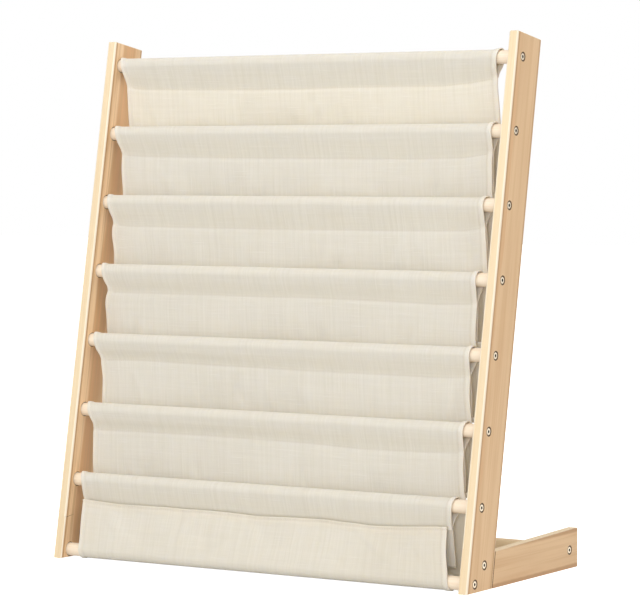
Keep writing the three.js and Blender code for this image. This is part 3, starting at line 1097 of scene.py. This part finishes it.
def sew_thread(name, outer, normal, stitches):
    """One mesh of a sheet's stitches, those given and those of its two side hems, copied from
    one small tapered stitch."""
    for column in (hem_stitch_column, -1 - hem_stitch_column):
        stitches = stitches + run_stitches(outer[:, column], normal[:, column])
    bpy.ops.mesh.primitive_uv_sphere_add(segments=6, ring_count=4, radius=1)
    pattern = bpy.context.object
    edit(pattern)
    choose(lambda co: abs(co.z) > 0.9)
    bpy.ops.transform.resize(value=(1, 1, 0.86))
    finish_edit()
    shape = np.array([point.co for point in pattern.data.vertices])
    polygons = [list(face.vertices) for face in pattern.data.polygons]
    bpy.data.objects.remove(pattern)
    corners, faces = [], []
    for middle, direction, up in stitches:
        half = np.linalg.norm(direction) / 2
        forward = direction / (2 * half)
        side = np.cross(up, forward)
        side /= np.linalg.norm(side)
        up = np.cross(forward, side)
        first = len(corners) * len(shape)
        corners.append(
            middle + up * thread_radius * 0.25
            + shape[:, :1] * side * thread_radius + shape[:, 1:2] * up * thread_radius * 0.8
            + shape[:, 2:] * forward * half
        )
        faces.extend([[number + first for number in polygon] for polygon in polygons])
    mesh = bpy.data.meshes.new(name)
    mesh.from_pydata(np.concatenate(corners).tolist(), [], faces)
    mesh.polygons.foreach_set("use_smooth", np.ones(len(faces), bool))
    thread = add_object(name, mesh)
    edit(thread)
    finish_edit()
    return thread


def hem_shape(x_grid):
    """How much thicker the turned-in hem is, where its stitches press a groove, and how much painted shade
    the groove and the hem's edge take.
    """
    inset = cloth_half - np.abs(x_grid)
    width = np.where(x_grid < 0, *hem_widths)
    turned = 1 - ease(inset, width - 0.0004, width + 0.0004)
    groove = bell(inset - width + hem_stitch_inset, 0.0006)
    hem_edge = bell(inset - width - 0.0004, 0.0007)
    return hem_thickness * turned - hem_groove_depth * groove, 0.8 * groove + 0.6 * hem_edge


def sling(row):
    """One stretch of the cloth: front wall, sleeve, back wall and fold, sewn at the row's seam."""
    place = front_dowels[row]
    last = row == sling_rows - 1
    path = wall_path(row, fold_depth - 0.0004, layer_offset)[:0:-1] if row > 0 else []
    path += sleeve_path(row)
    crown = len(path) - 1 - sleeve_wall_steps - sleeve_half_round
    sleeve_start = max(0, crown - sleeve_wall_steps - sleeve_half_round)
    if last:
        path += [(place.y - seam_gap, place.z - seam_drop - d) for d in (-0.001, 0.0, 0.001, 0.002)]
    else:
        path += wall_path(row, dowel_pitch + fold_depth, -layer_offset)[1:]
        path += fold_path(row)[1:]
    points, run, flat_x, depth, x_grid = hang(row, path, 1.0, left_hems[row], right_hems[row])
    seen = np.zeros((len(path), 1))
    seen[crown:] = 1
    if row == sling_rows - 2:
        # The lowest pocket hangs slack at its right end.
        points[..., 2] -= pocket_slack * ease(x_grid, 0.08, 0.27) * ease(depth, 0.100, 0.170)
    behind = np.zeros(len(path))
    behind[sleeve_start:crown] = 1
    behind[crown:crown + sleeve_half_round] = np.linspace(1, 0, sleeve_half_round) ** 1.5
    reach = np.where(x_grid < 0, *back_reach) * ease(np.abs(x_grid), 0.15, 0.29)
    points[..., 0] += np.sign(x_grid) * reach * behind[:, None] * (1 - ease(depth, 0.008, 0.034))
    flare = bell(cloth_half - np.abs(x_grid), 0.0075)
    flare *= (1 - ease(depth, 0.004, 0.020)) * (1 - ease(depth, 0.030, 0.034))
    shape = puckers(row, x_grid, depth) * np.where(depth > 0.012, 1.0, 0.2)
    shape += np.where(x_grid < 0, *end_flare) * flare
    shape += creases(row, x_grid, depth) * seen * ease(depth, seam_drop, 0.055)
    points = points + sheet_normals(points) * shape[..., None]
    hem, pressed_shade = hem_shape(x_grid)
    # The lowest seam runs under the front panel's top edge, in a wider groove with darker painted shade.
    groove_depth, groove_reach, groove_shade = seam_drop, 0.0007, 0.8
    if last:
        groove_depth, groove_reach, groove_shade = seam_drop - 0.0022, 0.0012, 1.9
    groove = bell(depth - groove_depth, groove_reach) * seen
    groove *= 1 - ease(np.abs(x_grid), seam_half - 0.0015, seam_half + 0.0020)
    thickness = cloth_thickness / 2 + hem - seam_groove_depth * groove
    # Painted shade where the cloth lies double: the sleeve is made a little darker and warmer.
    double_shade = ease(depth, 0.003, 0.018) * (1 - ease(depth, seam_drop - 0.0012, seam_drop + 0.0012))
    sheet, outer, normal = sew_sheet(
        f"sling_row_{row + 1}", row, points, thickness, pressed_shade + groove_shade * groove, double_shade, run, flat_x
    )
    stitches = []
    if not last:
        seam = crown + np.argmin(np.abs(depth[crown:, 0] - seam_drop))
        between_hems = np.abs(flat_x) < seam_half
        stitches = run_stitches(outer[seam][between_hems], normal[seam][between_hems])
    return sheet, sew_thread(f"stitches_row_{row + 1}", outer, normal, stitches), run[-1]


sling_sheets = [sling(row) for row in range(sling_rows)]

# Front panel. A separate length of the same cloth, sewn over the lowest sleeve by its turned-in
# top edge, hangs to the bottom dowel and wraps round it, pulled a little askew.
panel_left = [(30, 295), (44, 292.3), (59, 292), (69, 290), (86, 286), (103, 283.5), (120, 283.5)]
panel_right = [(27, 271.5), (40, 273), (60, 277.5), (80, 283.5), (101, 288), (120, 288.5)]
panel_step_out = 0.0024
panel_overlap = 0.001
panel_top_hem = 0.0085
panel_top_roll = 0.0014
panel_seam = 0.0030
panel_wrap_end = math.radians(420)
# Painted shade: the panel takes some of the double-layer shade though it lies single, to darken it.
panel_double_shade = 0.3
# Creases from the folded cloth: (x, depth, slope, half width, half length, height).
panel_creases = (
    (-0.235, 0.062, 0.9, 0.009, 0.030, 0.0012), (-0.150, 0.070, -0.8, 0.010, 0.034, -0.0013),
    (-0.118, 0.056, -0.5, 0.006, 0.026, 0.0026), (-0.085, 0.046, 0.35, 0.006, 0.016, 0.0017),
    (-0.062, 0.074, -1.3, 0.010, 0.026, -0.0014), (-0.010, 0.060, 1.1, 0.009, 0.026, 0.0013),
    (0.040, 0.078, -1.0, 0.012, 0.030, 0.0015), (0.092, 0.060, 0.1, 0.006, 0.030, -0.0024),
    (0.112, 0.066, -0.5, 0.009, 0.024, 0.0013), (0.165, 0.050, 1.6, 0.010, 0.022, 0.0014),
    (0.205, 0.072, -1.2, 0.010, 0.030, -0.0013), (0.246, 0.056, 0.7, 0.007, 0.022, 0.0012),
    (-0.190, 0.088, 1.5, 0.009, 0.030, 0.0010), (0.010, 0.090, -1.6, 0.008, 0.030, 0.0010),
    (0.140, 0.090, 1.4, 0.009, 0.026, -0.0010),
)


def front_panel():
    row = sling_rows - 1
    place, bottom = front_dowels[row], front_dowels[row + 1]
    start = Vector((0, place.y - panel_step_out, place.z - seam_drop + panel_overlap))
    away, up = start.y - bottom.y, start.z - bottom.z
    touch = math.atan2(up, away) + math.acos(sleeve_radius / math.hypot(away, up))
    wrap = round_run(bottom.y, bottom.z, sleeve_radius, np.linspace(touch, panel_wrap_end, 46))
    near_seam = (0, 0.006, 0.015, 0.03, 0.05, 0.08, 0.11, 0.14)
    shares = [*near_seam, *np.linspace(0.17, 1, 30)[:-1]]
    path = straight_run((start.y, start.z), wrap[0], shares) + wrap
    points, run, flat_x, depth, x_grid = hang(row, path, 0.0, panel_left, panel_right)
    down = run[:, None]
    free = np.sin(math.pi * np.clip(down / run[len(shares)], 0, 1)) ** 0.8
    slow = 0.0011 * ripple(x_grid / 0.33 + depth / 0.3, 2) + 0.0012 * ripple(x_grid / 0.11 - depth / 0.16)
    shape = slow * free
    for x, low, tilt, wide, long, high in panel_creases:
        away = (x_grid - x) - tilt * (depth - low)
        shape += high * bell(away, wide) * bell(depth - low, long) * free
    shape += 0.00022 * ripple(x_grid / 0.0125, 2 * np.sin(x_grid * 31)) * bell(down, 0.010)
    points = points + sheet_normals(points) * shape[..., None]
    turned = 1 - ease(down, panel_top_hem - 0.0006, panel_top_hem + 0.0005)
    needle = bell(down - panel_seam, 0.0007)
    rolled = bell(down - 0.0008, 0.0013)
    hem, pressed_shade = hem_shape(x_grid)
    thickness = cloth_thickness / 2 + hem + hem_thickness * turned
    thickness += panel_top_roll * rolled - seam_groove_depth * needle
    # Painted shade: the panel is darkened towards its right end and its bottom.
    panel_shade = 0.08 + 0.36 * ease(x_grid, 0.110, 0.190) + 0.16 * ease(depth, 0.085, 0.105)
    sheet, outer, normal = sew_sheet(
        "front_panel_cloth", sling_rows, points, thickness, pressed_shade + 0.3 * needle + panel_shade,
        np.full_like(depth, panel_double_shade), run, flat_x,
    )
    seam = np.argmin(np.abs(run - panel_seam))
    stitches = run_stitches(outer[seam], normal[seam])
    return sheet, sew_thread("stitches_front_panel", outer, normal, stitches), run[-1]


panel_sheet, panel_thread, panel_length = front_panel()

# The weave, on the cloth's own map in metres: threads both ways, with slubs here and there.
thread_pitch = 0.0009
slub_weave, weave_in = open_group("slub weave", {})
on_map = weave_in["Vector"]
warp = slub_weave.noise(on_map, (820, 16, 1)) + slub_weave.noise(on_map, (260, 7, 1))
weft = slub_weave.noise(on_map, (15, 880, 1)) + slub_weave.noise(on_map, (8, 240, 1))
threads = (warp + weft * 0.55 + 0.45) * 0.25
slub_warp = slub_weave.noise(on_map, (520, 22, 1), 1.0).step(0.62, 0.74)
slub_weft = slub_weave.noise(on_map, (24, 560, 1), 1.0).step(0.62, 0.74)
slubs = slub_weave.math("MAXIMUM", slub_warp, slub_weft)
parts = slub_weave.parts(on_map)
over, under = (slub_weave.math("SINE", parts[axis] * (math.pi / thread_pitch)) for axis in "XY")
height = slubs * 0.5 + threads + over * under * 0.22
close_group(slub_weave, {"Threads": threads, "Slubs": slubs, "Height": height})

cream_cloth, nodes = new_material("cream slub cloth")
weave_place = nodes.add("ShaderNodeUVMap", uv_map="weave")["UV"]
weave = nodes.use(slub_weave, {"Vector": weave_place})
aged = nodes.noise(weave_place, (9, 9, 1), 3.0)
from_middle = abs(nodes.parts(weave_place)["X"])
double_shade = nodes.add("ShaderNodeAttribute", attribute_name="double_shade")["Fac"]
pressed_shade = nodes.add("ShaderNodeAttribute", attribute_name="crease_shade")["Fac"]
thread_shade = weave["Threads"].step(0.36, 0.64)
cloth = nodes.layers(
    nodes.mix(thread_shade, (0.757, 0.715, 0.627, 1), (0.825, 0.785, 0.705, 1)),
    (weave["Slubs"] * 0.30, (0.87, 0.835, 0.775, 1)),
    (aged.step(0.3, 0.7, 0.0, 0.08), (0.73, 0.67, 0.57, 1)),
)
cloth = nodes.layers(
    # Painted shade: darker and warmer where the cloth lies double.
    nodes.mix(double_shade, cloth, (0.998, 0.990, 0.968, 1), blend="MULTIPLY"),
    # Painted highlight: the side hems beyond the seams are made paler.
    (from_middle.step(seam_half, seam_half + 0.004, 0.0, 0.5), (0.86, 0.84, 0.785, 1)),
    # Painted shade in the pressed grooves, at the hem edges and where the front panel is darkened.
    (pressed_shade * 0.45, (0.60, 0.53, 0.42, 1)),
)
nodes.surface({
    "Base Color": cloth,
    "Normal": nodes.bump(weave["Height"], 0.00030, 0.55),
    "Roughness": 0.95,
    "Specular IOR Level": 0.15,
    "Sheen Weight": 0.18,
    "Sheen Roughness": 0.4,
    "Subsurface Weight": 0.4,
    "Subsurface Radius": (1.0, 0.85, 0.6),
    "Subsurface Scale": 0.0025,
})

sewing_thread, nodes = new_material("cream sewing thread")
twist = nodes.noise(nodes.place(), 2600.0, 1.0)
nodes.surface({
    "Base Color": nodes.mix(twist, (0.77, 0.73, 0.66, 1), (0.83, 0.79, 0.72, 1)),
    "Roughness": 0.8,
})

cloths = []
for row, (sheet, thread, length) in enumerate(sling_sheets):
    nodes_replaced = [f"sleeve_{row + 1}"]
    rests_on = [dowels[row]]
    if row > 0:
        nodes_replaced.append(f"pocket_{row}_front")
        rests_on.append(sling_sheets[row - 1][0])
    if row < sling_rows - 1:
        nodes_replaced += [f"pocket_{row + 1}_back", f"pocket_{row + 1}_fold"]
    cloths.append((sheet, thread, length, nodes_replaced, rests_on))
rests_on = [dowels[-1], sling_sheets[-1][0]]
cloths.append((panel_sheet, panel_thread, panel_length + panel_top_hem, ["front_panel"], rests_on))
for sheet, thread, length, nodes_replaced, rests_on in cloths:
    sheet.data.materials.append(cream_cloth)
    thread.data.materials.append(sewing_thread)
    for piece in (sheet, thread):
        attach(piece, "root")
    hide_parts(*nodes_replaced)

# Studio. A plain pale floor, a white backdrop of light and soft lamps, and the camera at the
# photograph's viewing angle.
bpy.ops.mesh.primitive_plane_add(size=24, location=(0, 2, 0))
floor = bpy.context.object
floor.name = "studio_floor"
settle(floor)
paper, nodes = new_material("white paper floor")
fibre = nodes.noise(nodes.place(), 60.0)
seen = nodes.add("ShaderNodeLightPath")
direct = nodes.math("MAXIMUM", seen["Is Camera Ray"], seen["Is Glossy Ray"])
shaded = nodes.mix(fibre, (0.72, 0.72, 0.72, 1), (0.74, 0.74, 0.74, 1))
nodes.surface({
    "Base Color": nodes.mix(direct, shaded, (0.88, 0.88, 0.88, 1)),
    "Emission Strength": direct * 0.90,
    "Emission Color": (1, 1, 1, 1),
    "Roughness": 0.9,
    "Specular IOR Level": 0.0,
})
floor.data.materials.append(paper)

world = bpy.context.scene.world or bpy.data.worlds.new("studio")
bpy.context.scene.world = world
world.use_nodes = True
world.node_tree.nodes.clear()
nodes = Nodes(world.node_tree)
seen = nodes.add("ShaderNodeLightPath")
direct = nodes.math("MAXIMUM", seen["Is Glossy Ray"], seen["Is Transmission Ray"])
direct = nodes.math("MAXIMUM", seen["Is Camera Ray"], direct)
room_light = nodes.add("ShaderNodeBackground", {"Color": (1.0, 0.94, 0.85, 1), "Strength": 0.48})
backdrop = nodes.add("ShaderNodeBackground", {"Color": (1, 1, 1, 1), "Strength": 1.0})
feeds = {0: direct, 1: room_light["Background"], 2: backdrop["Background"]}
nodes.make("ShaderNodeOutputWorld", {0: nodes.add("ShaderNodeMixShader", feeds)["Shader"]})

lamp_aim = Vector((0, 0, 0.35))
low_aim = Vector((0, 0, 0.25))
warm_white = (1.0, 0.99, 0.97)
for name, place, aim, size, power, colour in (
    ("key_lamp", (-2.1, -3.4, 2.3), lamp_aim, 1.8, 24, (1.0, 0.995, 0.985)),
    ("front_lamp", (-0.4, -4.2, 0.45), lamp_aim, 2.6, 10, warm_white),
    ("near_lamp", (2.0, -3.7, 1.0), lamp_aim, 1.8, 43.5, warm_white),
    ("side_lamp", (4.6, -3.4, 1.5), lamp_aim, 3.2, 35, warm_white),
    ("edge_lamp", (2.6, 1.0, 2.9), low_aim, 1.6, 20, (1.0, 0.97, 0.94)),
    ("top_lamp", (-0.2, -1.0, 2.8), lamp_aim, 1.8, 18, (1.0, 0.995, 0.99)),
    ("back_lamp", (1.0, 3.4, 2.2), lamp_aim, 2.4, 17, (0.96, 0.98, 1.0)),
):
    light = bpy.data.lights.new(name, "AREA")
    light.shape = "DISK"
    light.size = size
    light.energy = power
    light.color = colour
    lamp = add_object(name, light)
    lamp.location = place
    lamp.rotation_euler = (aim - Vector(place)).to_track_quat("-Z", "Y").to_euler()

camera = add_object("camera", bpy.data.cameras.new("camera"))
camera.data.lens = 160.1
camera.data.sensor_width = 36
camera.data.clip_start = 0.1
camera.data.clip_end = 60
camera.location = (2.0197, -3.2010, 0.5272)
camera_aim = Vector((0.0435, -0.0500, 0.3447))
camera.rotation_euler = (camera_aim - camera.location).to_track_quat("-Z", "Y").to_euler()
bpy.context.scene.camera = camera
bpy.context.scene.view_settings.view_transform = "Standard"
